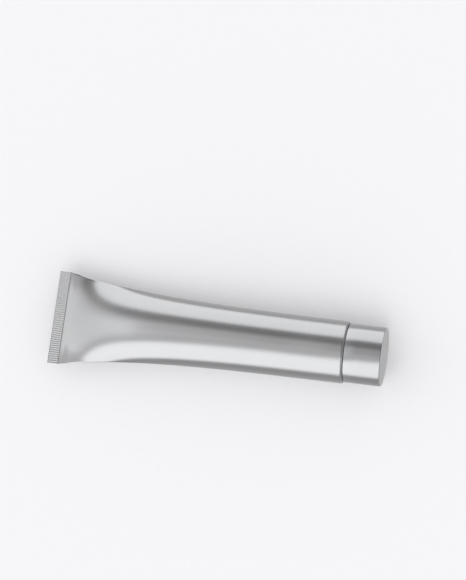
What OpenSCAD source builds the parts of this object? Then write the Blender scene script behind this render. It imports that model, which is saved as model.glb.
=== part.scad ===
// A laminated shaving cream tube with a full-width screw cap, lying on its belly.
// X runs along the tube, from the sealed end to the cap; Y runs across the flat seal; Z is up.
// The origin is on the table, under the middle of the tube's length.

/* [Sleeve] */
// Outside diameter of the round barrel
tube_d = 35; // [28:1:42]
// Length of the sleeve from the cut end of the seal to the shoulder
sleeve_l = 171; // [130:0.5:210]
// Thickness of the matt outer film
outer_film_t = 0.15; // [0.1:0.01:0.18]
// Thickness of the aluminium barrier foil
barrier_foil_t = 0.08; // [0.05:0.01:0.12]
// Thickness of the inner sealing film
inner_film_t = 0.22; // [0.15:0.01:0.27]
// How far the soft belly sags onto the table
belly_sag = 0.8; // [0.4:0.1:1.2]
// Length over which the sag dies out towards the stiff shoulder
sag_run = 30; // [20:1:40]
// How far the sealed end droops below the cap's axis
tail_droop = 1; // [0:0.5:4]

/* [End seal] */
// Length of the pressed seal along the tube
crimp_l = 6.5; // [5:0.5:9]
// How far sealing draws in each side of the flat end
seal_draw_in = 0.5; // [0:0.1:1]
// How quickly the flat end swells to the round barrel
flare_decay = 3.6; // [2.8:0.1:4.4]
// Length over which the two panels part into a wedge
wedge_run = 23; // [15:1:30]
// How gently that swelling runs out into the barrel
flare_ease = 0.8; // [0.6:0.1:1.4]

/* [Shoulder] */
// Length of the shoulder's skirt inside the sleeve
skirt_l = 5; // [4:0.5:8]
// Wall of the moulded shoulder
shoulder_t = 1.2; // [0.9:0.1:1.6]
// Radius of the sleeve's turned-in edge
edge_r = 0.6; // [0.4:0.1:0.9]
// Height of the shoulder's cone
cone_h = 3; // [2:0.5:5]
// Thickness of the barrier cone under the shoulder
barrier_cone_t = 0.4; // [0.3:0.1:0.6]

/* [Neck] */
// Diameter of the neck at the root of its thread
neck_d = 15; // [13:0.5:17]
// Length of the neck above the cone
neck_l = 11; // [10:0.5:12]
// Wall of the neck
neck_t = 1.7; // [1.4:0.1:2]
// Thickness of the neck's end plate
neck_plate_t = 1; // [0.8:0.1:1.4]
// Diameter of the orifice
orifice_d = 7; // [4:0.5:8]
// Thickness of the peel-off foil over the orifice
seal_foil_t = 0.12; // [0.08:0.02:0.2]

/* [Thread] */
// Rise for each turn
pitch = 3.5; // [3:0.25:4]
// Turns of thread on the neck, and in the cap
thread_turns = 1.5; // [1.25:0.25:1.75]
// Height of a thread ridge
thread_h = 0.9; // [0.7:0.1:1]
// Width of a ridge at its foot
thread_foot_w = 1.6; // [1.3:0.1:1.7]
// Width of a ridge at its crest
thread_crest_w = 0.8; // [0.6:0.1:0.9]
// Radial play between the neck and the cap
thread_play = 0.2; // [0.15:0.05:0.3]

/* [Cap] */
// Height of the cap
cap_h = 20.5; // [19:0.5:26]
// Open groove between the sleeve and the cap
cap_gap = 1; // [0.8:0.1:1.5]
// How far the cap's rim stands in from the barrel's surface
cap_inset = 0.9; // [0.5:0.1:1.2]
// How much smaller the cap's radius is at its closed end
cap_draft = 0.1; // [0:0.05:0.3]
// Radius of the cap's outer edge
cap_edge_r = 0.5; // [0.3:0.1:0.8]
// Thickness of the metal overshell
shell_t = 0.5; // [0.4:0.05:0.7]
// Wall of the cap's plastic core
core_t = 1; // [0.8:0.1:1.3]
// Wall of the core's threaded boss
boss_t = 1.8; // [1.4:0.1:2.2]
// Number of ribs on each side of the core's web
rib_count = 6; // [4:1:8]
// Thickness of a rib
rib_t = 0.9; // [0.7:0.1:1.2]
// Thickness of the sealing liner
liner_t = 1; // [0.8:0.1:1.3]

/* [Clearances] */
// Gap between pieces that are pressed or bonded together
bond_gap = 0.05; // [0.03:0.01:0.1]
// Gap between the liner and the peel-off foil on a closed tube
seat_gap = 0.1; // [0.05:0.05:0.2]

/* [Hidden] */

$fn = 96;

// Colours
satin_metal = [0.72, 0.72, 0.73];
bare_foil = [0.80, 0.80, 0.82];
natural_plastic = [0.90, 0.90, 0.88];
silver_plastic = [0.60, 0.61, 0.62];
white_plastic = [0.95, 0.95, 0.94];
cream_white = [0.98, 0.98, 0.96];

// Sleeve
tube_r = tube_d / 2;
wall = outer_film_t + barrier_foil_t + inner_film_t;
flat_half = PI * (tube_r - wall / 2) / 2 - seal_draw_in;
body_l = sleeve_l - crimp_l - skirt_l;
total_l = sleeve_l + cap_gap + cap_h;
seal_x = -total_l / 2;
girth_points = 40;
panel_points = girth_points / 2;
smallest_lens = 1;
body_steps = 15;
step_bias = 1.7;
edge_steps = 3;
headspace_l = 8;

// Shoulder and neck
skirt_r = (tube_r - wall) * cos(180 / girth_points) - bond_gap;
land_r = (tube_r - wall - edge_r) * cos(180 / girth_points) - bond_gap;
cone_foot_r = land_r - shoulder_t;
cone_foot_z = cap_gap / 2;
neck_r = neck_d / 2;
neck_bore_r = neck_r - neck_t;
neck_foot_z = cone_foot_z + cone_h;
neck_top_z = neck_foot_z + neck_l;
cone_top_r = neck_r + thread_h + thread_play;

// Cap
cap_r = tube_r - cap_inset;
cap_top_r = cap_r - cap_draft;
rim_z = cap_gap;
shell_top_z = rim_z + cap_h;
boss_r = neck_r + thread_h + thread_play;
boss_outer_r = boss_r + boss_t;
liner_z = neck_top_z + 2 * seal_foil_t + seat_gap;
web_z = liner_z + liner_t;
web_t = 1.2;
core_r = cap_top_r - shell_t - bond_gap;
core_foot_z = rim_z + 0.5;
core_top_z = shell_top_z - shell_t - bond_gap;
neck_thread_z = neck_top_z - 1.5 - thread_turns * pitch;
cap_thread_z = neck_thread_z - pitch / 2;
boss_foot_z = max(neck_foot_z + 0.5, cap_thread_z - thread_foot_w / 2 - 0.3);
steps_per_turn = 30;
fade_steps = 2;

// ---------- The sleeve's sections ----------
// A section is a lens made of two equal arcs, each spanning an angle t to either side of the middle.
// At 90 degrees the lens is the round barrel, and near 0 it is the flat seal. Its girth hardly changes.

// Length of one panel of the lens, edge to edge
function panel_length(t) = 2 * flat_half + (PI * tube_r - 2 * flat_half) * pow(t / 90, 2);
// Radius of the lens's arcs
function lens_radius(t) = panel_length(t) * 180 / (2 * PI * t);
function lens_half_width(t) = lens_radius(t) * sin(t);
// The lens angle that gives a half width, found by halving the range
function lens_angle(half_width, low = smallest_lens, high = 90, tries = 24) =
  tries == 0 ? (low + high) / 2 :
  lens_half_width((low + high) / 2) > half_width ?
    lens_angle(half_width, (low + high) / 2, high, tries - 1) :
    lens_angle(half_width, low, (low + high) / 2, tries - 1);

// Share of the way from the crimp to the round barrel
function body_share(s) = min(1, max(0, (s - crimp_l) / body_l));
function flare(v) = exp(-flare_decay * v) * pow(max(0, 1 - v * v), flare_ease);
function half_width(s) = tube_r + (flat_half - tube_r) * flare(body_share(s));
function smooth(x) = let (c = min(1, max(0, x))) c * c * (3 - 2 * c);
function parting(s) = 1 - exp(-max(0, s - crimp_l) / wedge_run);
function centre_height(s) =
  tube_r - belly_sag * smooth((sleeve_l - skirt_l - s) / sag_run)
  - tail_droop * pow(max(0, 1 - max(s, crimp_l) / (sleeve_l - skirt_l - sag_run)), 2);
// How far the turned-in edge has pulled the wall in
function edge_inset(s) =
  let (past = max(0, s - (sleeve_l - edge_r))) edge_r - sqrt(max(0, edge_r * edge_r - past * past));

// One ring of points at distance s from the cut end, a depth under the outer surface
function ring(s, depth) =
  let (
    t = s <= crimp_l ? smallest_lens : lens_angle(half_width(s)),
    r = lens_radius(t),
    last = t * (1 - 1 / panel_points),
    part = parting(s),
    thick = norm([part * (r - r * cos(t)), wall]),
    inset = edge_inset(s),
    wide = half_width(s) - depth - inset,
    tall = (thick - depth - inset) / thick,
    upper = [
      for (i = [0 : panel_points - 1])
        let (angle = last * (1 - 2 * i / (panel_points - 1)))
          [wide * sin(angle) / sin(last), tall * norm([part * (r * cos(angle) - r * cos(t)), wall])]
    ],
    lower = [for (i = [panel_points - 1 : -1 : 0]) [upper[i].x, -upper[i].y]]
  )
  [for (p = concat(upper, lower)) [seal_x + s, p.x, max(depth, centre_height(s) + p.y)]];

// Distances along the sleeve at which its sections are drawn
crimp_stations = [0, crimp_l];
body_stations = [for (i = [1 : body_steps]) crimp_l + body_l * pow(i / body_steps, step_bias)];
edge_stations = [for (i = [0 : edge_steps]) sleeve_l - edge_r + edge_r * sin(90 * i / edge_steps)];
stations = concat(crimp_stations, body_stations, edge_stations);
cavity_stations = [for (s = stations) if (s > crimp_l) s];
cream_stations = [for (s = body_stations) if (s > crimp_l + headspace_l) s];

// ---------- Skins ----------

// Triangles between neighbouring rings; inward turns them round
function skin(first, rings, inward = false) = [
  for (k = [0 : rings - 2], i = [0 : girth_points - 1])
    let (
      j = (i + 1) % girth_points,
      a = first + k * girth_points + i,
      b = first + k * girth_points + j,
      c = b + girth_points,
      d = a + girth_points
    )
    each inward ? [[a, b, c], [a, c, d]] : [[a, c, b], [a, d, c]]
];
// A flat band of triangles between two loops, facing the cap or the seal
function annulus(outer, inner, to_cap) = [
  for (i = [0 : girth_points - 1])
    let (j = (i + 1) % girth_points, a = outer + i, b = outer + j, c = inner + j, d = inner + i)
    each to_cap ? [[a, c, b], [a, d, c]] : [[a, b, c], [a, c, d]]
];
// A closed section, as strips from its upper half to its lower half
function disc(first, to_cap) = [
  for (i = [0 : panel_points - 2])
    let (a = first + i, b = a + 1, c = first + girth_points - 2 - i, d = c + 1)
    each to_cap ? [[a, c, b], [a, d, c]] : [[a, b, c], [a, c, d]]
];
function rings_at(places, depth) = [for (s = places) each ring(s, depth)];

// A ply of the sleeve between two depths, open at both ends
module ply(depth, thickness) {
  n = len(stations);
  inner = n * girth_points;
  polyhedron(
    points = concat(rings_at(stations, depth), rings_at(stations, depth + thickness)),
    faces = concat(
      skin(0, n),
      skin(inner, n, inward = true),
      annulus(0, inner, to_cap = false),
      annulus((n - 1) * girth_points, inner + (n - 1) * girth_points, to_cap = true)
    )
  );
}

// The innermost ply, whose two panels are fused into one in the seal
module fused_ply(depth, thickness) {
  n = len(stations);
  m = len(cavity_stations);
  inner = n * girth_points;
  polyhedron(
    points = concat(rings_at(stations, depth), rings_at(cavity_stations, depth + thickness)),
    faces = concat(
      skin(0, n),
      disc(0, to_cap = false),
      skin(inner, m, inward = true),
      disc(inner, to_cap = true),
      annulus((n - 1) * girth_points, inner + (m - 1) * girth_points, to_cap = true)
    )
  );
}

// A solid filling of the sleeve
module filling(places, depth) {
  n = len(places);
  polyhedron(
    points = rings_at(places, depth),
    faces = concat(skin(0, n), disc(0, to_cap = false), disc((n - 1) * girth_points, to_cap = true))
  );
}

// ---------- Round pieces ----------

// Stands children on the tube's axis, with their Z along it and their foot at the sleeve's end
module on_shoulder() {
  translate([seal_x + sleeve_l, 0, tube_r]) rotate([0, 90, 0]) children();
}

// A screw thread's ridge: its foot is sunk into the wall and its crest fades out at both ends
module ridge(foot_r, crest_r, turns, phase) {
  steps = round(turns * steps_per_turn);
  sunk_r = foot_r + (foot_r > crest_r ? 0.3 : -0.3);
  function swell(k) = min(1, (min(k, steps - k) + 0.1) / fade_steps);
  function place(r, angle, z) = [r * cos(angle), r * sin(angle), z];
  points = [
    for (k = [0 : steps])
      let (
        angle = phase + 360 * k / steps_per_turn,
        z = pitch * k / steps_per_turn,
        top_r = foot_r + (crest_r - foot_r) * swell(k),
        foot = thread_foot_w / 2,
        crest = thread_crest_w / 2
      )
      each [
        place(sunk_r, angle, z - foot), place(top_r, angle, z - crest),
        place(top_r, angle, z + crest), place(sunk_r, angle, z + foot)
      ]
  ];
  sides = [
    for (k = [0 : steps - 1], i = [0 : 3])
      let (j = (i + 1) % 4, a = 4 * k + i, b = 4 * k + j, c = b + 4, d = a + 4)
      each [[a, b, c], [a, c, d]]
  ];
  faces = concat(sides, [[3, 2, 1, 0]], [[for (i = [0 : 3]) 4 * steps + i]]);
  outward = foot_r < crest_r;
  polyhedron(
    points = points,
    faces = outward ? faces : [for (f = faces) [for (i = [len(f) - 1 : -1 : 0]) f[i]]]
  );
}

// ---------- The pieces ----------

module outer_film() {
  color(satin_metal) ply(0, outer_film_t);
}

module barrier_foil() {
  color(bare_foil) ply(outer_film_t, barrier_foil_t);
}

module inner_film() {
  color(natural_plastic) fused_ply(outer_film_t + barrier_foil_t, inner_film_t);
}

module shaving_cream() {
  plug_r = skirt_r - shoulder_t - bond_gap;
  cone_r = neck_bore_r - barrier_cone_t - 2 * bond_gap;
  below = shoulder_t + barrier_cone_t + 2 * bond_gap;
  color(cream_white) {
    filling(cream_stations, wall + bond_gap);
    on_shoulder() rotate_extrude() polygon([
      [0, -skirt_l - 1],
      [plug_r, -skirt_l - 1],
      [plug_r, -below],
      [cone_foot_r - below, cone_foot_z - below],
      [cone_r, neck_foot_z - below],
      [cone_r, neck_top_z - neck_plate_t - bond_gap],
      [0, neck_top_z - neck_plate_t - bond_gap]
    ]);
  }
}

module shoulder() {
  color(silver_plastic) on_shoulder() {
    rotate_extrude() polygon([
      [skirt_r - shoulder_t, bond_gap - skirt_l],
      [skirt_r, bond_gap - skirt_l],
      [skirt_r, -edge_r - bond_gap],
      [land_r, -bond_gap],
      [land_r, cone_foot_z],
      [cone_foot_r, cone_foot_z],
      [cone_top_r, neck_foot_z],
      [neck_r, neck_foot_z],
      [neck_r, neck_top_z],
      [orifice_d / 2, neck_top_z],
      [orifice_d / 2, neck_top_z - neck_plate_t],
      [neck_bore_r, neck_top_z - neck_plate_t],
      [neck_bore_r, neck_foot_z - shoulder_t],
      [cone_foot_r - shoulder_t, cone_foot_z - shoulder_t],
      [skirt_r - shoulder_t, -shoulder_t]
    ]);
    translate([0, 0, neck_thread_z]) ridge(neck_r, neck_r + thread_h, thread_turns, 0);
  }
}

module barrier_cone() {
  outer = shoulder_t + bond_gap;
  inner = outer + barrier_cone_t;
  tube_outer_r = neck_bore_r - bond_gap;
  color(bare_foil) on_shoulder() rotate_extrude() polygon([
    [skirt_r - shoulder_t - bond_gap, -inner],
    [skirt_r - shoulder_t - bond_gap, -outer],
    [cone_foot_r - outer, cone_foot_z - outer],
    [tube_outer_r, neck_foot_z - outer],
    [tube_outer_r, neck_foot_z + 1],
    [tube_outer_r - barrier_cone_t, neck_foot_z + 1],
    [tube_outer_r - barrier_cone_t, neck_foot_z - inner],
    [cone_foot_r - inner, cone_foot_z - inner]
  ]);
}

module seal_foil() {
  color(bare_foil) on_shoulder() translate([0, 0, neck_top_z]) {
    cylinder(r = neck_r - bond_gap, h = seal_foil_t);
    intersection() {
      cylinder(r = neck_r - bond_gap, h = 2 * seal_foil_t);
      translate([0, -neck_r, 0]) cube([neck_r, 2 * neck_r, 1]);
    }
  }
}

module cap_liner() {
  color(white_plastic) on_shoulder() translate([0, 0, liner_z])
    cylinder(r = boss_r - bond_gap, h = liner_t - bond_gap);
}

module cap_core() {
  module ribs(foot_z, top_z, from_r) {
    for (i = [0 : rib_count - 1])
      rotate(360 * (i + 0.5) / rib_count)
        translate([from_r, -rib_t / 2, foot_z])
          cube([core_r - core_t / 2 - from_r, rib_t, top_z - foot_z]);
  }
  color(white_plastic) on_shoulder() {
    rotate_extrude() polygon([
      [core_r - core_t, core_foot_z],
      [core_r, core_foot_z],
      [core_r, core_top_z],
      [core_r - core_t, core_top_z],
      [core_r - core_t, web_z + web_t],
      [0, web_z + web_t],
      [0, web_z],
      [boss_r, web_z],
      [boss_r, boss_foot_z],
      [boss_outer_r, boss_foot_z],
      [boss_outer_r, web_z],
      [core_r - core_t, web_z]
    ]);
    translate([0, 0, cap_thread_z])
      ridge(boss_r, boss_r - thread_h, thread_turns, 0);
    ribs(boss_foot_z + 4, web_z + web_t / 2, boss_outer_r - boss_t / 2);
    ribs(web_z + web_t / 2, core_top_z - 0.2, 3);
  }
}

module cap_shell() {
  inner_r = cap_r - shell_t;
  inner_top_r = cap_top_r - shell_t;
  top_z = shell_top_z;
  edge = [for (a = [0 : 15 : 90]) [
    cap_top_r - cap_edge_r * (1 - cos(a)),
    top_z - cap_edge_r * (1 - sin(a))
  ]];
  color(satin_metal) on_shoulder() rotate_extrude() polygon(concat(
    [[inner_r + shell_t / 3, rim_z], [cap_r - shell_t / 3, rim_z], [cap_r, rim_z + shell_t / 3]],
    edge,
    [[0, top_z], [0, top_z - shell_t], [inner_top_r, top_z - shell_t], [inner_r, rim_z + shell_t / 3]]
  ));
}

outer_film();
barrier_foil();
inner_film();
shaving_cream();
shoulder();
barrier_cone();
seal_foil();
cap_liner();
cap_core();
cap_shell();
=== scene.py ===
# %% [markdown]
# A shaving cream tube
# The tube is a soft sleeve of metal laminate, welded flat at one end and closed at the
# other by a moulded shoulder, with a wide screw cap in the same satin metal. The CAD
# model already holds its sizes and its moving cap. Here each piece gets its real surface.

# %% Load the frame
import math

import bpy
from mathutils import Matrix, Vector


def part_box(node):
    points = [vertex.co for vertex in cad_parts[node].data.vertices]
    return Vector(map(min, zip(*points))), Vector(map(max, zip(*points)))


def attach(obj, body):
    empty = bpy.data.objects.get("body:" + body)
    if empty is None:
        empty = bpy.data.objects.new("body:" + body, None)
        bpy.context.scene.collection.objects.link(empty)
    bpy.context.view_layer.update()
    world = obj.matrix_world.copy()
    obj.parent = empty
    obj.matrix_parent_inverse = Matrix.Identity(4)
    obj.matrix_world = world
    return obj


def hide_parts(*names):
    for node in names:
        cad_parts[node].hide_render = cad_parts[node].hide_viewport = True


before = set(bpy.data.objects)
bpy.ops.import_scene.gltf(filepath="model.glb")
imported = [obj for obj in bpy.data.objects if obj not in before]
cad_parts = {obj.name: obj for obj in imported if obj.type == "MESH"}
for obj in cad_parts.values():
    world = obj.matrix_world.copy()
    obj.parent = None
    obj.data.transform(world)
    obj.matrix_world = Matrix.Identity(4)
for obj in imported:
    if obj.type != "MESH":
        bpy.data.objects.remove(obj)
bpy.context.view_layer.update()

# %% [markdown]
# ## The sizes everything is measured from
# A designer reads sizes off the drawing before modelling. Here they come from the boxes
# of the CAD pieces, so that the sleeve, the groove and the cap meet where the drawing says.

# %% Read the main sizes
MM = 0.001
film_low, film_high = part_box("outer_film")
cap_low, cap_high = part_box("cap_shell")
SEAL_X, SHOULDER_X = film_low.x / MM, film_high.x / MM
RIM_X, END_X = cap_low.x / MM, cap_high.x / MM
SLEEVE_L = SHOULDER_X - SEAL_X
AXIS_Z = (cap_low.z + cap_high.z) / 2 / MM
TUBE_R = AXIS_Z
FLAT_HALF = film_high.y / MM
CAP_R = cap_high.y / MM
AXIS = Vector((0, 0, AXIS_Z * MM))
print(f"sleeve {SLEEVE_L:.1f} long, {2 * TUBE_R:.1f} across, {2 * FLAT_HALF:.1f} wide at the seal")
print(f"cap {END_X - RIM_X:.1f} long, {2 * CAP_R:.1f} across")

# %% [markdown]
# ## Small habits of the bench
# Operators work on whatever is selected, so each step starts by letting go of
# everything. A finished piece has its place in its mesh and rides on one of the bodies.


# %% Bench helpers
def let_go():
    if bpy.context.mode != "OBJECT":
        bpy.ops.object.mode_set(mode="OBJECT")
    bpy.ops.object.select_all(action="DESELECT")


def pick(piece):
    let_go()
    piece.select_set(True)
    bpy.context.view_layer.objects.active = piece


def pick_vertices(piece, test):
    """Selects the vertices whose place passes the test, and leaves the piece in edit mode."""
    pick(piece)
    bpy.ops.object.mode_set(mode="EDIT")
    bpy.ops.mesh.select_mode(type="VERT")
    bpy.ops.mesh.select_all(action="DESELECT")
    bpy.ops.object.mode_set(mode="OBJECT")
    for vertex in piece.data.vertices:
        vertex.select = test(piece.matrix_world @ vertex.co)
    bpy.ops.object.mode_set(mode="EDIT")


def fix_place(piece):
    """Moves the piece's place, turn and size into its mesh."""
    pick(piece)
    bpy.ops.object.transform_apply(location=True, rotation=True, scale=True)


def face_outwards(piece):
    pick(piece)
    bpy.ops.object.mode_set(mode="EDIT")
    bpy.ops.mesh.select_all(action="SELECT")
    bpy.ops.mesh.normals_make_consistent(inside=False)
    bpy.ops.object.mode_set(mode="OBJECT")


SMOOTH_UP_TO = 35


def hand_over(piece, material, body):
    """Gives a finished piece its material and shading, and fixes it to its body."""
    piece.data.materials.clear()
    piece.data.materials.append(material)
    pick(piece)
    bpy.ops.object.shade_smooth_by_angle(angle=math.radians(SMOOTH_UP_TO))
    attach(piece, body)
    faces = len(piece.data.polygons)
    size = [round(v / MM, 1) for v in piece.dimensions]
    print(f"{piece.name}: {faces} faces, {size} mm, on {body}")


# %% [markdown]
# ## Colours and nodes
# Colours are given as sRGB, but a shader counts in linear light, so one function
# converts them. One more adds a node, sets it and links it. The rest are the four moves
# that a recipe makes: a colour between two tones, a range, a relief and a calculation.


# %% Colour and node helpers
def linear(hex_colour):
    values = [int(hex_colour[i : i + 2], 16) / 255 for i in (1, 3, 5)]
    return [v / 12.92 if v <= 0.04045 else ((v + 0.055) / 1.055) ** 2.4 for v in values] + [1.0]


def add(tree, kind, settings=None, **sockets):
    """Adds a node. settings are its own choices; sockets are values or other nodes' outputs,
    named as Blender names them or by place, such as _0 for the first."""
    node = tree.nodes.new(kind)
    for name, value in (settings or {}).items():
        setattr(node, name, value)
    for name, value in sockets.items():
        is_place = name[1:].isdigit()
        socket = node.inputs[int(name[1:]) if is_place else name.replace("_", " ")]
        if isinstance(value, bpy.types.NodeSocket):
            tree.links.new(value, socket)
        else:
            socket.default_value = value
    return node


def start_material(name, **sockets):
    material = bpy.data.materials.new(name)
    material.use_nodes = True
    tree = material.node_tree
    tree.nodes.clear()
    shader = add(tree, "ShaderNodeBsdfPrincipled", **sockets)
    add(tree, "ShaderNodeOutputMaterial", Surface=shader.outputs[0])
    place = add(tree, "ShaderNodeTexCoord").outputs["Object"]
    return material, tree, shader, place


def tones(tree, shader, pattern, first, second):
    """Colours the shader between two tones, as the pattern says."""
    both = [linear(first), linear(second)]
    tone = add(tree, "ShaderNodeMix", {"data_type": "RGBA"}, Factor=pattern, _6=both[0], _7=both[1])
    tree.links.new(tone.outputs[2], shader.inputs["Base Color"])


def ramp(tree, value, start, end, low, high, interpolation="LINEAR"):
    """Turns a value that runs from start to end into one that runs from low to high."""
    node = add(tree, "ShaderNodeMapRange", {"interpolation_type": interpolation}, Value=value)
    for name, number in zip(("From Min", "From Max", "To Min", "To Max"), (start, end, low, high)):
        node.inputs[name].default_value = number
    return node.outputs[0]


def gloss(tree, shader, pattern, low, high):
    tree.links.new(ramp(tree, pattern, 0.0, 1.0, low, high), shader.inputs["Roughness"])


def relief(tree, shader, pattern, strength, distance):
    bump = add(tree, "ShaderNodeBump", Strength=strength, Distance=distance, Height=pattern)
    tree.links.new(bump.outputs[0], shader.inputs["Normal"])


def calc(tree, operation, *values):
    sockets = {f"_{i}": value for i, value in enumerate(values)}
    return add(tree, "ShaderNodeMath", {"operation": operation}, **sockets).outputs[0]


# %% [markdown]
# ## The sleeve's satin film
# The outside of the laminate is a polyester film over vapour-deposited aluminium, with a
# matt lacquer. The eye gets the colour of aluminium, reflections softened by the lacquer,
# and a very faint orange peel about a millimetre across. The film is a metal to light,
# so it is fully metallic and its softness comes from roughness.

# %% Satin metallised film
satin_film, tree, shader, place = start_material("satin_metallised_film", Metallic=1.0)
cloud = add(tree, "ShaderNodeTexNoise", Vector=place, Scale=60.0, Detail=3.0, Roughness=0.5)
tones(tree, shader, cloud.outputs["Fac"], "#D9DADC", "#DEDEDF")
gloss(tree, shader, cloud.outputs["Fac"], 0.23, 0.27)
peel = add(tree, "ShaderNodeTexNoise", Vector=place, Scale=900.0, Detail=2.0, Roughness=0.5)
relief(tree, shader, peel.outputs["Fac"], 0.12, 0.02 * MM)
print(satin_film.name, "has", len(tree.nodes), "nodes")

# %% [markdown]
# ## The cap's anodised shell
# The cap's skin is drawn aluminium, chemically brightened and anodised satin. Drawing
# leaves hair-fine rings around the axis. They are too fine to see one by one, so they
# are drawn at a third of a millimetre and kept weak: they only stretch the highlight.

# %% Satin anodised aluminium
anodised, tree, shader, place = start_material("satin_anodised_aluminium", Metallic=1.0)
rings = add(tree, "ShaderNodeMapping", Vector=place, Scale=(3000.0, 12.0, 12.0))
ring_noise = add(tree, "ShaderNodeTexNoise", Vector=rings.outputs[0], Scale=1.0, Detail=2.0)
tones(tree, shader, ring_noise.outputs["Fac"], "#D8D9DB", "#DBDBDD")
gloss(tree, shader, ring_noise.outputs["Fac"], 0.235, 0.265)
relief(tree, shader, ring_noise.outputs["Fac"], 0.03, 0.01 * MM)
print(anodised.name, "has", len(tree.nodes), "nodes")

# %% [markdown]
# ## Bare foil
# The barrier layer and the peel-off seal are rolled aluminium foil. Rolling leaves long
# fine lines and a brighter shine than the lacquered film has.

# %% Rolled aluminium foil
rolled_foil, tree, shader, place = start_material("rolled_aluminium_foil", Metallic=1.0)
rolled = add(tree, "ShaderNodeMapping", Vector=place, Scale=(40.0, 2500.0, 2500.0))
roll_noise = add(tree, "ShaderNodeTexNoise", Vector=rolled.outputs[0], Scale=1.0, Detail=3.0)
tones(tree, shader, roll_noise.outputs["Fac"], "#D6D8DA", "#E6E6E8")
gloss(tree, shader, roll_noise.outputs["Fac"], 0.12, 0.26)
relief(tree, shader, roll_noise.outputs["Fac"], 0.2, 0.02 * MM)
print(rolled_foil.name, "has", len(tree.nodes), "nodes")

# %% [markdown]
# ## Moulded polyethylene and polypropylene
# The sleeve's lining is natural polyethylene: milky, a little waxy, and light goes a short
# way in. The cap's core is white polypropylene, denser and a bit glossier. Both are given
# a faint grain, the lining from its casting roll and the core from its mould.

# %% Moulded plastics
natural_pe, tree, shader, place = start_material(
    "natural_polyethylene", Roughness=0.48, IOR=1.51, Subsurface_Weight=0.25, Subsurface_Scale=1.5 * MM
)
shader.inputs["Subsurface Radius"].default_value = (1.0, 0.9, 0.8)
milk = add(tree, "ShaderNodeTexNoise", Vector=place, Scale=150.0, Detail=2.0)
tones(tree, shader, milk.outputs["Fac"], "#DCDBD5", "#E7E6E1")
grain = add(tree, "ShaderNodeTexNoise", Vector=place, Scale=5000.0, Detail=2.0)
relief(tree, shader, grain.outputs["Fac"], 0.25, 0.02 * MM)
print(natural_pe.name, "has", len(tree.nodes), "nodes")

white_pp, tree, shader, place = start_material("white_polypropylene", Roughness=0.38, IOR=1.49)
flow = add(tree, "ShaderNodeTexNoise", Vector=place, Scale=220.0, Detail=3.0, Distortion=0.6)
tones(tree, shader, flow.outputs["Fac"], "#E9E9E6", "#F1F1EF")
grain = add(tree, "ShaderNodeTexNoise", Vector=place, Scale=4000.0, Detail=2.0)
relief(tree, shader, grain.outputs["Fac"], 0.2, 0.02 * MM)
print(white_pp.name, "has", len(tree.nodes), "nodes")

# %% [markdown]
# ## The grey shoulder
# On a metallic tube the shoulder is moulded in polyethylene with a little aluminium
# powder, so that the groove under the cap does not flash white. The flakes give a weak
# metallic lustre over a mid grey, with flow marks left by the mould.

# %% Silver-filled polyethylene
silver_pe, tree, shader, place = start_material(
    "silver_filled_polyethylene", Metallic=0.55, Roughness=0.42
)
flakes = add(tree, "ShaderNodeTexNoise", Vector=place, Scale=2600.0, Detail=3.0)
tones(tree, shader, flakes.outputs["Fac"], "#9A9C9F", "#B4B5B8")
relief(tree, shader, flakes.outputs["Fac"], 0.15, 0.02 * MM)
print(silver_pe.name, "has", len(tree.nodes), "nodes")

# %% [markdown]
# ## The liner's foam and the cream
# The sealing disc is expanded polyethylene, cut from sheet: tiny closed cells about
# 0.3 mm across show as a soft leathery pattern. The cream is a white soap emulsion:
# matt with a moist sheen, and light spreads inside it.

# %% Foam and cream
foam, tree, shader, place = start_material("expanded_polyethylene", Roughness=0.62, IOR=1.5)
cells = add(tree, "ShaderNodeTexVoronoi", Vector=place, Scale=3000.0)
tones(tree, shader, cells.outputs["Distance"], "#F2F2F0", "#E4E4E1")
relief(tree, shader, cells.outputs["Distance"], 0.4, 0.05 * MM)
print(foam.name, "has", len(tree.nodes), "nodes")

cream, tree, shader, place = start_material(
    "soap_cream", Roughness=0.42, IOR=1.4, Subsurface_Weight=0.5, Subsurface_Scale=3 * MM
)
shader.inputs["Subsurface Radius"].default_value = (1.0, 0.95, 0.9)
swirl = add(tree, "ShaderNodeTexNoise", Vector=place, Scale=180.0, Detail=4.0, Distortion=1.2)
tones(tree, shader, swirl.outputs["Fac"], "#F6F5F1", "#FBFBF9")
relief(tree, shader, swirl.outputs["Fac"], 0.35, 0.4 * MM)
print(cream.name, "has", len(tree.nodes), "nodes")

# %% [markdown]
# ## The sleeve's form
# A sleeve cannot stretch, so every cross-section has nearly the same girth: a circle at
# the shoulder, and two flat panels at the seal. In between, each panel is an arc, and the
# section is a lens whose two tips are the creases that run back from the seal's corners.
# No operator makes this, so the rings of a plain cylinder are moved by one formula.

# %% The formula for a point of the sleeve
CRIMP_L, SKIRT_L, EDGE_R = 6.5, 5.0, 0.6
OUTER_FILM, BARRIER_FOIL, INNER_FILM = 0.15, 0.08, 0.22
WALL = OUTER_FILM + BARRIER_FOIL + INNER_FILM
FLARE_DECAY, FLARE_EASE, WEDGE_RUN = 3.6, 0.8, 23.0
BELLY_SAG, SAG_RUN, TAIL_DROOP = 0.8, 30.0, 1.0
BODY_L = SLEEVE_L - CRIMP_L - SKIRT_L


def half_width(s):
    """Half the sleeve's width, s mm from the sealed end."""
    v = min(1, max(0, (s - CRIMP_L) / BODY_L))
    flare = math.exp(-FLARE_DECAY * v) * max(0, 1 - v * v) ** FLARE_EASE
    return TUBE_R + (FLAT_HALF - TUBE_R) * flare


def lens_radius(t):
    """The radius of a panel that turns t degrees either side of its middle."""
    return (2 * FLAT_HALF + (math.pi * TUBE_R - 2 * FLAT_HALF) * (t / 90) ** 2) * 90 / (math.pi * t)


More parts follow.
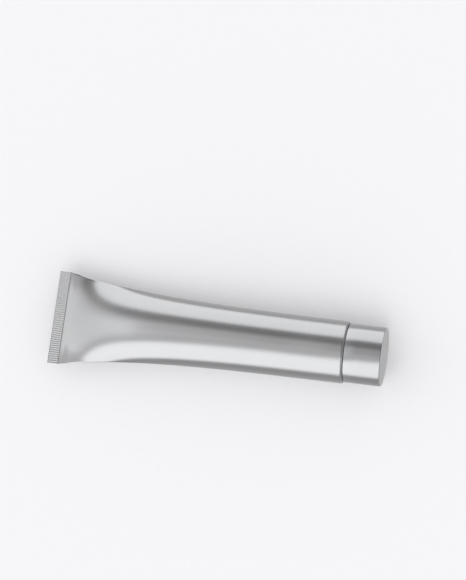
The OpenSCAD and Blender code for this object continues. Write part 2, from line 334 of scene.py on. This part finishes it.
def lens_angle(wide):
    """How far such a panel turns when it is so wide, found by halving."""
    low, high = 1.0, 90.0
    for _ in range(30):
        middle = (low + high) / 2
        if lens_radius(middle) * math.sin(math.radians(middle)) > wide:
            low = middle
        else:
            high = middle
    return middle


def centre_height(s):
    """How high the creases lie: on the axis, less the belly's sag and the tail's droop."""
    c = min(1, max(0, (SLEEVE_L - SKIRT_L - s) / SAG_RUN))
    droop = max(0, 1 - max(s, CRIMP_L) / (SLEEVE_L - SKIRT_L - SAG_RUN))
    return TUBE_R - BELLY_SAG * c * c * (3 - 2 * c) - TAIL_DROOP * droop**2


def section(s):
    """A ring's lens angle, its radius, how far the panels have parted, and its rolled edge's inset."""
    t = 1.0 if s <= CRIMP_L else lens_angle(half_width(s))
    past = max(0, s - (SLEEVE_L - EDGE_R))
    inset = EDGE_R - math.sqrt(max(0, EDGE_R**2 - past**2))
    part = 1 - math.exp(-max(0, s - CRIMP_L) / WEDGE_RUN)
    return t, lens_radius(t), part, inset


print("lens angle along the sleeve:", [round(section(s)[0]) for s in (8, 15, 30, 60, 100, 165)])

# %% [markdown]
# ## Where the rings go
# Rings crowd together where the form changes fast: across the seal's step and at the
# rolled edge by the shoulder. The seal's jaws leave ribs along the tube 1.2 mm apart,
# so there are two points of each ring to every rib, and the odd ones stand lower.

# %% Stations
RIB_PITCH, POINTS_PER_RIB = 1.2, 2
PANEL_POINTS = 2 * POINTS_PER_RIB * round(FLAT_HALF / RIB_PITCH)
GIRTH = 2 * PANEL_POINTS
BAND_L, GROOVE_AT, GROOVE_BACK = 6.2, 6.5, 0.06
BODY_FROM, BODY_RINGS, CROWD_TO_SEAL = 7.5, 64, 1.45
BODY_TO = SLEEVE_L - SKIRT_L
SKIRT_RINGS, EDGE_STEP = 4, 15
stations = [0, 0.12, 0.3, 3.0, BAND_L - 0.2, BAND_L, GROOVE_AT, GROOVE_AT + GROOVE_BACK, 7.0, BODY_FROM]
for i in range(1, BODY_RINGS + 1):
    stations.append(BODY_FROM + (BODY_TO - BODY_FROM) * (i / BODY_RINGS) ** CROWD_TO_SEAL)
for i in range(1, SKIRT_RINGS):
    stations.append(BODY_TO + (SKIRT_L - EDGE_R) * i / SKIRT_RINGS)
for turned_in in range(0, 90 + EDGE_STEP, EDGE_STEP):
    stations.append(SLEEVE_L - EDGE_R + EDGE_R * math.sin(math.radians(turned_in)))
SECTIONS = [section(s) for s in stations]
print(len(stations), "rings of", GIRTH, "points")

# %% [markdown]
# ## What the jaws, the weld and the folds do
# The sealing jaws press ribs and a groove into the band, and past it the panels spring
# apart at once. A crease is a fold and not a knife edge: it has an outside radius, and
# the section grows rounder than a lens further on. The laminate's own weld is a strip
# where its two edges overlap, on the side that faces away. All of it is real height in
# the surface, so that it shows from every side, and it is added ring by ring.

# %% Relief of the surface
RIB_RISE, RIBS_FROM, GROOVE_DEPTH = 0.12, 0.1, 0.2
SPRING_RISE, SPRING_TOP, SPRING_END = 0.35, 9.0, 22.0
FOLD_R, FOLD_RUN, CREASE_GAP = 0.3, 12.0, 0.02
OVAL_SHARE, OVAL_FROM, OVAL_RUN = 0.35, 20.0, 60.0
TIP_CROWDING = 0.7
SEAM_AT, SEAM_HALF, SEAM_RISE = -140, 2.8, 0.06


def seal_relief(s, odd):
    """How far the jaws move the surface: ribs in the band, and a groove where the band ends."""
    if s <= BAND_L:
        return (-RIB_RISE if odd else RIB_RISE) * (s > RIBS_FROM)
    return -GROOVE_DEPTH if s == GROOVE_AT else 0


def spring(s):
    """How far the panels spring apart past the weld."""
    if s < SPRING_TOP:
        return SPRING_RISE * max(0, s - CRIMP_L) / (SPRING_TOP - CRIMP_L)
    return SPRING_RISE * max(0, SPRING_END - s) / (SPRING_END - SPRING_TOP)


def eased(s, run, start=CRIMP_L):
    """Grows from 0 to 1 over a run along the sleeve."""
    return min(1, max(0, s - start) / run)


def crowd(share, s):
    """Draws the points of a ring together towards the creases, where the section turns fastest."""
    return share + eased(s, FOLD_RUN) * TIP_CROWDING * 90 / math.pi * math.sin(math.pi * share / 90)


print("spring of the panels:", [round(spring(s), 2) for s in (7, 9, 15, 22)], "mm")

# %% [markdown]
# ## Cutting and forming a ply
# Each of the laminate's three plies is a thin tube with an outer and an inner skin. A
# skin starts as an open cylinder lying along X, cut into rings, and its points are moved
# to a depth under the sleeve's surface. At both ends the outer skin turns in to the inner.


# %% One skin of the laminate
# In mm: how near an end counts as on it, how near points merge, and how far panels stay apart
AT_END, MERGED, LEAST_APART = 0.01, 0.001, 0.01


def skin(name, depth, girth=GIRTH):
    let_go()
    bpy.ops.mesh.primitive_cylinder_add(
        vertices=girth,
        radius=TUBE_R * MM,
        depth=SLEEVE_L * MM,
        end_fill_type="NOTHING",
        location=((SEAL_X + SLEEVE_L / 2) * MM, 0, TUBE_R * MM),
        rotation=(0, math.radians(90), 0),
    )
    piece = bpy.context.object
    piece.name = name
    fix_place(piece)
    bpy.ops.object.mode_set(mode="EDIT")
    bpy.ops.mesh.select_mode(type="EDGE")
    bpy.ops.mesh.select_all(action="DESELECT")
    bpy.ops.object.mode_set(mode="OBJECT")
    points = piece.data.vertices
    for edge in piece.data.edges:
        a, b = (points[i].co for i in edge.vertices)
        edge.select = abs(a.x - b.x) > SLEEVE_L * MM / 2
    bpy.ops.object.mode_set(mode="EDIT")
    bpy.ops.mesh.subdivide(number_cuts=len(stations) - 2)
    bpy.ops.object.mode_set(mode="OBJECT")
    for vertex in piece.data.vertices:
        vertex.co = sleeve_point(vertex.co, depth, girth)
    return piece


def sleeve_point(place, depth, girth):
    """Moves a point of the plain cylinder to its place on the sleeve, a depth under its surface.

    around is its angle from the top, and share its angle from the middle of its own panel."""
    k = round((place.x / MM - SEAL_X) / SLEEVE_L * (len(stations) - 1))
    s, (t, r, part, inset) = stations[k], SECTIONS[k]
    step = 360 / girth
    index = math.floor(math.degrees(math.atan2(place.y, place.z - TUBE_R * MM)) / step + 0.25)
    around = (index + 0.5) * step
    around -= 360 * (around > 180)
    upper = -90 < around < 90
    share = crowd(around if upper else math.copysign(180, around) - around, s)
    last = math.radians(crowd(90 - step / 2, s) / 90 * t)
    angle = math.radians(share / 90 * t)
    across = math.sin(angle) / math.sin(last)
    drop = r * math.cos(math.radians(t))
    thick = math.hypot(part * (r - drop), WALL)
    lens, oval = r * math.cos(angle) - drop, (r - drop) * math.sqrt(max(0, 1 - across**2))
    bow = lens + OVAL_SHARE * eased(s, OVAL_RUN, OVAL_FROM) * (oval - lens)
    from_crease = half_width(s) * (1 - abs(across)) + CREASE_GAP
    fold = 1 - eased(s, FOLD_RUN) * (1 - math.sqrt(1 - math.exp(-from_crease / FOLD_R)))
    rise = math.hypot(part * bow, WALL * fold) + seal_relief(s, index % 2)
    rise += spring(s) * (1 - (share / 90) ** 4)
    if abs(around - SEAM_AT) < SEAM_HALF and s > CRIMP_L:
        rise += SEAM_RISE
    y = (half_width(s) - depth - inset) * across
    z = rise * max(LEAST_APART, thick - depth - inset) / thick
    height = centre_height(s) + (z if upper else -z)
    return Vector(((SEAL_X + s) * MM, y * MM, max(depth, height) * MM))


def ply(name, depth, thickness):
    """Turns the outer skin's end rings in onto the inner skin's, and merges them there."""
    inner = skin(name + "_inner", depth + thickness)
    outer = skin(name, depth)
    twins = {tuple(a.co): b.co.copy() for a, b in zip(outer.data.vertices, inner.data.vertices)}
    for end in (SEAL_X, SHOULDER_X):
        pick_vertices(outer, lambda place: abs(place.x / MM - end) < AT_END)
        bpy.ops.mesh.select_mode(type="EDGE")
        bpy.ops.mesh.extrude_edges_move()
        bpy.ops.object.mode_set(mode="OBJECT")
        for vertex in outer.data.vertices:
            if vertex.select:
                vertex.co = twins[tuple(vertex.co)]
    pick(outer)
    inner.select_set(True)
    bpy.ops.object.join()
    pick_vertices(outer, lambda place: not SEAL_X + AT_END < place.x / MM < SHOULDER_X - AT_END)
    bpy.ops.mesh.remove_doubles(threshold=MERGED * MM)
    face_outwards(outer)
    return outer


# %% [markdown]
# ## The three plies
# From outside in: the satin film that shows, the foil that keeps air and scent out, and
# the polyethylene lining that melts together in the seal. They share their surfaces, as
# bonded layers do, and each one stands for its CAD solid.

# %% Make the plies
outer_film = ply("sleeve_outer_film", 0, OUTER_FILM)
hand_over(outer_film, satin_film, "tube")
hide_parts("outer_film")

barrier_foil = ply("sleeve_barrier_foil", OUTER_FILM, BARRIER_FOIL)
hand_over(barrier_foil, rolled_foil, "tube")
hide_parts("barrier_foil")

inner_film = ply("sleeve_inner_film", OUTER_FILM + BARRIER_FOIL, INNER_FILM)
hand_over(inner_film, natural_pe, "tube")
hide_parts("inner_film")

# %% [markdown]
# ## Turned pieces
# The shoulder, the cap and its core are all round about the tube's axis. A ring is added
# and then extruded from one station of the profile to the next, as a turner's tool
# travels, which keeps every ring under control. A closed profile bridges back to its start.


# %% Turn a profile about the axis
def turned(name, profile, around=128):
    """profile lists (x, radius) in mm. It closes on itself, or in the middle at a radius of 0."""
    x, r = profile[0]
    solid_start = r == 0
    if solid_start:
        profile = profile[1:]
        x, r = profile[0]
    let_go()
    bpy.ops.mesh.primitive_circle_add(
        vertices=around,
        radius=r * MM,
        fill_type="TRIFAN" if solid_start else "NOTHING",
        location=(x * MM, 0, AXIS_Z * MM),
        rotation=(0, math.radians(90), 0),
    )
    piece = bpy.context.object
    piece.name = name
    fix_place(piece)
    bpy.ops.object.mode_set(mode="EDIT")
    bpy.ops.mesh.select_mode(type="EDGE")
    bpy.ops.mesh.select_all(action="SELECT")
    if solid_start:
        bpy.ops.mesh.select_mode(type="FACE")
        bpy.ops.mesh.region_to_loop()
    for next_x, next_r in profile[1:]:
        bpy.ops.mesh.extrude_edges_move(TRANSFORM_OT_translate={"value": ((next_x - x) * MM, 0, 0)})
        if next_r == 0:
            bpy.ops.mesh.merge(type="CENTER")
        else:
            k = next_r / r
            bpy.ops.transform.resize(value=(1, k, k), center_override=(next_x * MM, 0, AXIS_Z * MM))
            r = next_r
        x = next_x
    bpy.ops.object.mode_set(mode="OBJECT")
    if not solid_start:
        bpy.ops.object.mode_set(mode="EDIT")
        bpy.ops.mesh.select_mode(type="EDGE")
        bpy.ops.mesh.select_all(action="DESELECT")
        bpy.ops.mesh.select_non_manifold()
        bpy.ops.mesh.bridge_edge_loops()
        bpy.ops.object.mode_set(mode="OBJECT")
    face_outwards(piece)
    return piece


# %% [markdown]
# ## The cap's metal shell
# The shell is a shallow cup pressed from one disc: a flat end, a tight rounded edge and a
# straight wall with almost no draft. It is turned from the middle of the end, out over
# the edge, down the wall, round the rim and back up the inside.

# %% Turn the cap shell
SHELL_T, CAP_EDGE_R, CAP_DRAFT = 0.5, 0.65, 0.1
CAP_TOP_R = CAP_R - CAP_DRAFT
FACE_RINGS = (0, 5, 12, CAP_TOP_R - 1.2)
# how far down the wall from the end, or up from the rim, and how far inside the rim's radius
WALL_RINGS = ((7, 0.07), (14, 0.03))
RIM_RINGS = ((0.16, 0), (0.05, 0.05), (0, 0.17), (0, 0.33), (0.05, 0.45), (0.16, SHELL_T))
shell_profile = [(END_X, ring) for ring in FACE_RINGS]
shell_profile += [
    (END_X - CAP_EDGE_R * (1 - math.cos(a)), CAP_TOP_R - CAP_EDGE_R * (1 - math.sin(a)))
    for a in (math.radians(turned_in) for turned_in in range(0, 90 + EDGE_STEP, EDGE_STEP))
]
shell_profile += [(END_X - down, CAP_R - inside) for down, inside in WALL_RINGS]
shell_profile += [(RIM_X + up, CAP_R - inside) for up, inside in RIM_RINGS]
shell_profile += [(END_X - SHELL_T, CAP_TOP_R - SHELL_T), (END_X - SHELL_T, 0)]
cap_shell = turned("cap_metal_shell", shell_profile, around=160)
hand_over(cap_shell, anodised, "cap")
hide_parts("cap_shell")

# %% [markdown]
# ## The shoulder, the neck and what is inside the cap
# These are plain engineering shapes, and the CAD solids already have their exact form:
# the threads, the ribs and the folded tab. They keep their meshes and get real finishes.

# %% Finish the carried-over pieces
finishes = {
    "shoulder": silver_pe,
    "barrier_cone": rolled_foil,
    "seal_foil": rolled_foil,
    "cap_liner": foam,
    "cap_core": white_pp,
}
for node, material in finishes.items():
    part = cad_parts[node]
    part.data.materials.clear()
    part.data.materials.append(material)
    print(node, "is", material.name)

# %% [markdown]
# ## The cream
# The cream fills the sleeve up to a little air behind the seal. It is made like a skin of
# the sleeve, a hair inside the lining, cut off square where the air begins, and closed at
# both ends. A plug of it fills the shoulder and the neck.

# %% Fill the sleeve
HEADSPACE, GAP, CREAM_GIRTH = 8.0, 0.05, 96
shaving_cream = skin("shaving_cream_fill", WALL + GAP, girth=CREAM_GIRTH)
empty_to = (SEAL_X + CRIMP_L + HEADSPACE) * MM
full_to = (SHOULDER_X - SKIRT_L + 0.1) * MM
pick_vertices(shaving_cream, lambda place: place.x < empty_to or place.x > full_to)
bpy.ops.mesh.delete(type="VERT")
bpy.ops.object.mode_set(mode="OBJECT")
for is_far in (False, True):
    ends = [v.co.x for v in shaving_cream.data.vertices]
    end_x = max(ends) if is_far else min(ends)
    pick_vertices(shaving_cream, lambda place: abs(place.x - end_x) < 1e-5)
    bpy.ops.mesh.select_mode(type="EDGE")
    bpy.ops.mesh.extrude_edges_move()
    bpy.ops.mesh.merge(type="CENTER")
    bpy.ops.object.mode_set(mode="OBJECT")
face_outwards(shaving_cream)
hand_over(shaving_cream, cream, "tube")
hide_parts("shaving_cream")

FOOT_X, FOOT_R = SHOULDER_X - SKIRT_L + 0.02, 15.6
CONE_X, CONE_R, CONE_CHAMFER = SHOULDER_X - 1.22, 13.4, 0.5
NECK_X, ORIFICE_X, NECK_BORE_R = SHOULDER_X + 1.78, SHOULDER_X + 13.4, 5.25
plug_profile = [
    (FOOT_X, 0),
    (FOOT_X, FOOT_R),
    (CONE_X - CONE_CHAMFER, FOOT_R),
    (CONE_X, CONE_R),
    (NECK_X, NECK_BORE_R),
    (ORIFICE_X, NECK_BORE_R),
    (ORIFICE_X, 0),
]
cream_plug = turned("shaving_cream_plug", plug_profile, around=64)
hand_over(cream_plug, cream, "tube")

# %% [markdown]
# ## The floor and the light
# The tube lies on a pale sweep. A wide soft sun from the front lights the floor and leaves
# one soft shadow behind. Metal shows only what it mirrors, so it gets surroundings of its
# own: a long soft box on either side, dim ones overhead and at the seal, and a grey below.

# %% Floor
let_go()
bpy.ops.mesh.primitive_plane_add(size=6, location=(0, 0, -0.1 * MM))
floor = bpy.context.object
floor.name = "pale_floor"
floor_paper, tree, shader, place = start_material(
    "pale_backdrop_paper", Roughness=0.9, Specular_IOR_Level=0.0
)
fibre = add(tree, "ShaderNodeTexNoise", Vector=place, Scale=400.0, Detail=3.0)
tones(tree, shader, fibre.outputs["Fac"], "#F4F4F6", "#F7F7F9")
floor.data.materials.append(floor_paper)
floor.visible_glossy = False
floor.visible_shadow = False
print("the floor is", round(floor.dimensions.x, 1), "m across")

# %% [markdown]
# ## Three skies in one
# One background serves three kinds of ray. What the metal mirrors is pale below, dark
# above and darker towards either end. What lights the floor is even, and stronger from
# the front. What the eye sees past the floor's edge is the floor's own white.

# %% Surroundings
MIRRORED_BELOW, MIRRORED_ABOVE = 0.56, 0.165
FRONT_DIM, END_DIM, SEAL_GLOW, CAP_GLOW = 0.8, 0.7, 0.1, 0.3
FILL_FRONT, FILL_BACK = 0.99, 0.65
BEYOND_THE_FLOOR = 0.925
scene = bpy.context.scene
scene.view_settings.view_transform = "Standard"
world = bpy.data.worlds.new("studio")
scene.world = world
world.use_nodes = True
sky = world.node_tree
sky.nodes.clear()
direction = add(sky, "ShaderNodeTexCoord").outputs["Generated"]
axes = add(sky, "ShaderNodeSeparateXYZ", Vector=direction)
x, y, z = (axes.outputs[axis] for axis in "XYZ")
shade = ramp(sky, z, -1.0, 0.1, MIRRORED_BELOW, MIRRORED_ABOVE)
front_dim = ramp(sky, y, -0.6, 0.2, FRONT_DIM, 1.0)
end_dim = ramp(sky, x, 0.3, 0.9, 0.0, -END_DIM)
overhead = ramp(sky, z, -0.25, 0.05, -0.6, 1.0)
end_part = calc(sky, "MULTIPLY_ADD", end_dim, overhead, 1.0)
both = calc(sky, "MULTIPLY", end_part, front_dim)
dimmed = calc(sky, "MULTIPLY", shade, both)
seal_glow = ramp(sky, x, -0.75, -0.15, SEAL_GLOW, 0.0)
cap_glow = ramp(sky, x, 0.85, 1.0, 0.0, CAP_GLOW)
mirrored = calc(sky, "ADD", dimmed, calc(sky, "ADD", seal_glow, cap_glow))
fill = ramp(sky, y, -1.0, 1.0, FILL_FRONT, FILL_BACK)
ray = add(sky, "ShaderNodeLightPath")
matt = add(sky, "ShaderNodeMix", _0=ray.outputs["Is Diffuse Ray"], _2=mirrored, _3=fill)
seen = ray.outputs["Is Camera Ray"]
level = add(sky, "ShaderNodeMix", _0=seen, _2=matt.outputs[0], _3=BEYOND_THE_FLOOR)
surround = add(sky, "ShaderNodeBackground", Strength=1.0)
sky.links.new(level.outputs[0], surround.inputs["Color"])
add(sky, "ShaderNodeOutputWorld", Surface=surround.outputs[0])
print(world.name, "has", len(sky.nodes), "nodes")

# %% [markdown]
# ## The soft boxes
# A tube is lit with long boxes that run beside it, because each one draws a single band
# down the metal. The box is aimed by how far it leans off straight up, and its strength is
# given as the brightness that the metal mirrors. A faded edge makes a soft-edged band.


# %% Lights
def soft_box(name, towards_y, towards_x, distance, width, length, radiance, twist=0, fade=0):
    """A box that faces the tube from so many degrees off straight up. Sizes are in metres, with
    length along the tube; twist turns it about its own aim; fade is the share that fades out."""
    light = bpy.data.lights.new(name, "AREA")
    light.shape = "RECTANGLE"
    light.size, light.size_y = length, width
    light.energy = radiance * math.pi * width * length
    if fade:
        light.use_nodes = True
        cloth = light.node_tree
        cloth.nodes.clear()
        place = add(cloth, "ShaderNodeNewGeometry").outputs["Parametric"]
        across = add(cloth, "ShaderNodeSeparateXYZ", Vector=place).outputs["Y"]
        off = calc(cloth, "ABSOLUTE", calc(cloth, "MULTIPLY_ADD", across, 2.0, -1.0))
        edge = ramp(cloth, off, 1.0 - fade, 1.0, 1.0, 0.0, "SMOOTHSTEP")
        glow = add(cloth, "ShaderNodeEmission", Strength=edge)
        add(cloth, "ShaderNodeOutputLight", Surface=glow.outputs[0])
    box = bpy.data.objects.new(name, light)
    scene.collection.objects.link(box)
    a, b = math.radians(towards_y), math.radians(towards_x)
    away = Vector((math.sin(b), math.cos(b) * math.sin(a), math.cos(b) * math.cos(a)))
    along = (Vector((1, 0, 0)) - away * away.x).normalized()
    along.rotate(Matrix.Rotation(math.radians(twist), 3, away))
    turn = Matrix((along, away.cross(along), away)).transposed().to_4x4()
    box.matrix_world = Matrix.Translation(AXIS + away * distance) @ turn
    box.visible_camera = False
    box.visible_diffuse = False
    print(name, [round(v, 2) for v in box.location], round(light.energy, 2), "W")


soft_box("back_soft_box", 78, 0, 0.9, 1.02, 2.4, 0.75)
soft_box("front_soft_box", -65.5, 0, 0.9, 1.46, 2.4, 0.98, twist=14, fade=0.4)
soft_box("ceiling_soft_box", -7, 0, 1.5, 1.45, 2.4, 0.22)
soft_box("front_ceiling_soft_box", -20, 0, 1.6, 0.78, 2.4, 0.12)
soft_box("seal_end_soft_box", -6, -63, 1.0, 1.2, 1.02, 0.51, fade=0.75)
soft_box("seal_ceiling_soft_box", 6, -30, 1.2, 0.75, 0.9, 0.10)

sun_light = bpy.data.lights.new("soft_sun", "SUN")
sun_light.energy = 0.67
sun_light.angle = math.radians(45)
sun = bpy.data.objects.new("soft_sun", sun_light)
scene.collection.objects.link(sun)
sun.rotation_euler = (math.radians(25), 0, 0)
sun.visible_glossy = False

# %% [markdown]
# ## The camera
# A long lens looks down on the tube from above its cap end, with the seal to the left.

# %% Camera
camera_data = bpy.data.cameras.new("camera")
camera_data.lens = 126.2
camera_data.clip_start, camera_data.clip_end = 0.05, 20
camera = bpy.data.objects.new("camera", camera_data)
scene.collection.objects.link(camera)
right = Vector((0.9734, 0.13842, -0.18256))
up = Vector((-0.11564, 0.98474, 0.13008))
back = Vector((0.19778, -0.10551, 0.97455))
turn = Matrix((right, up, back)).transposed().to_4x4()
camera.matrix_world = Matrix.Translation(Vector((0.23385, -0.0942, 1.1403))) @ turn
scene.camera = camera
